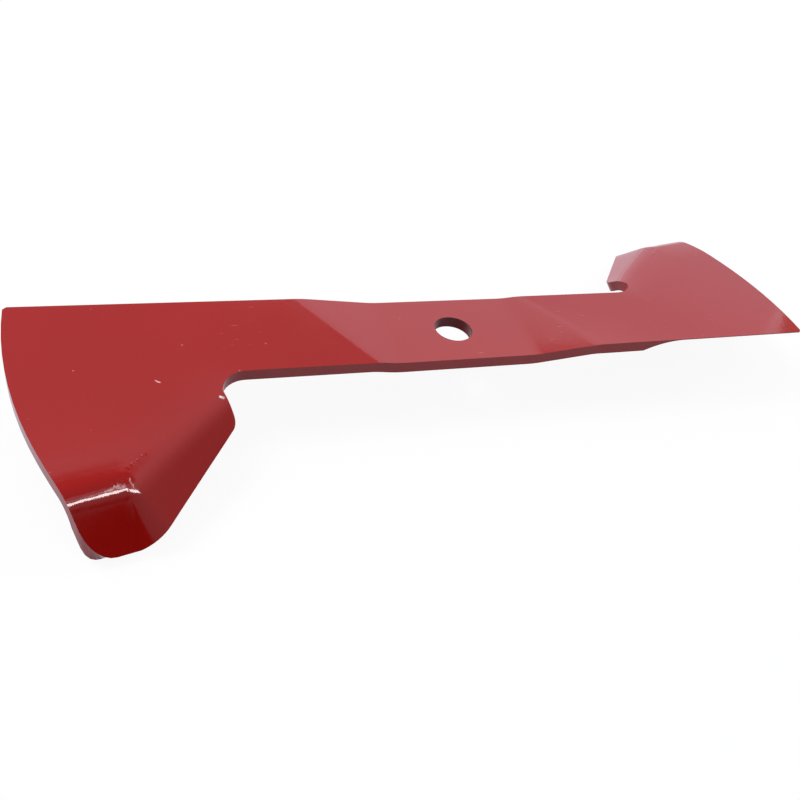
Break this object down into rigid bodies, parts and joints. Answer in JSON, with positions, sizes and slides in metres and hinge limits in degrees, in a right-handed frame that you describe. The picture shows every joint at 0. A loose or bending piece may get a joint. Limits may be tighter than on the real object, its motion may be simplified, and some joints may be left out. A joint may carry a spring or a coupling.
{
  "type": "rotary mower blade",
  "caption": "Flat steel mower blade with a centre bore, joggled and pitched arms, ground leading edges and a folded fan wing behind each tip.",
  "frame": {"origin": "on the bore axis, in the hub seat under the centre section", "axes": "+Z along the bore axis towards the grass side, +X along the blade to one tip, +Y towards that tip's wing"},
  "size_m": [0.43, 0.2054, 0.036],
  "materials": {
    "red_paint": "gloss"
  },
  "bodies": {
    "root": {"blade": "red_paint"}
  },
  "joints": []
}
